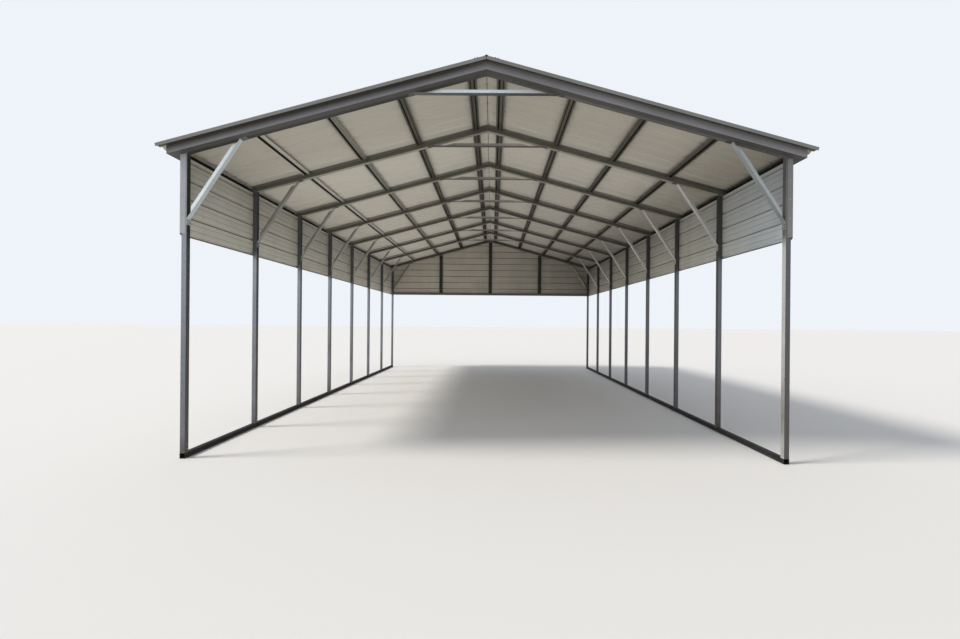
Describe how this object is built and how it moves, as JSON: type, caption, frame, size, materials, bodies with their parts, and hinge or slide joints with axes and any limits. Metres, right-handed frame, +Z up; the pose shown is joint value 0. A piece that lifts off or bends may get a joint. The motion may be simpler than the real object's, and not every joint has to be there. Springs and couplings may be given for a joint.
{
  "type": "carport",
  "caption": "Open-fronted steel carport: square-tube frames with knee and peak braces under a ribbed gable roof, with short side sheets and a closed back gable.",
  "frame": {"origin": "centre of the roof's plan, at floor level under the base rails", "axes": "+X to the right seen from the open front, +Y from the open front to the closed back gable, +Z up"},
  "size_m": [7.7396, 10.9738, 4.7868],
  "materials": {
    "galvanized_tube": "galvanized, dull, with a faint spangle",
    "galvanized_channel": "galvanized, a little brighter than the tube",
    "ribbed_sheet": "factory painted, satin, pale stone",
    "pale_trim": "factory painted, satin, pale stone",
    "grey_trim": "factory painted, satin, grey"
  },
  "bodies": {
    "root": {"frame_1_posts": "galvanized_tube", "frame_1_rafters": "galvanized_tube", "frame_1_braces": "galvanized_channel", "frame_2_posts": "galvanized_tube", "frame_2_rafters": "galvanized_tube", "frame_2_braces": "galvanized_channel", "frame_3_posts": "galvanized_tube", "frame_3_rafters": "galvanized_tube", "frame_3_braces": "galvanized_channel", "frame_4_posts": "galvanized_tube", "frame_4_rafters": "galvanized_tube", "frame_4_braces": "galvanized_channel", "frame_5_posts": "galvanized_tube", "frame_5_rafters": "galvanized_tube", "frame_5_braces": "galvanized_channel", "frame_6_posts": "galvanized_tube", "frame_6_rafters": "galvanized_tube", "frame_6_braces": "galvanized_channel", "frame_7_posts": "galvanized_tube", "frame_7_rafters": "galvanized_tube", "frame_7_braces": "galvanized_channel", "frame_8_posts": "galvanized_tube", "frame_8_rafters": "galvanized_tube", "frame_8_braces": "galvanized_channel", "base_rail_left": "galvanized_tube", "base_rail_right": "galvanized_tube", "post_sleeves": "galvanized_tube", "gable_header": "galvanized_tube", "gable_studs": "galvanized_channel", "purlins_left": "galvanized_channel", "purlins_right": "galvanized_channel", "roof_sheet_left": "ribbed_sheet", "roof_sheet_right": "ribbed_sheet", "side_sheet_left": "ribbed_sheet", "side_sheet_right": "ribbed_sheet", "gable_sheet": "ribbed_sheet", "ridge_cap": "pale_trim", "rake_trim_front": "pale_trim", "rake_trim_back": "pale_trim", "gable_trim_front": "grey_trim", "gable_trim_back": "grey_trim", "eave_trim_left": "grey_trim", "eave_trim_right": "grey_trim", "corner_trims_front": "grey_trim", "corner_trims_back": "grey_trim"}
  },
  "joints": []
}
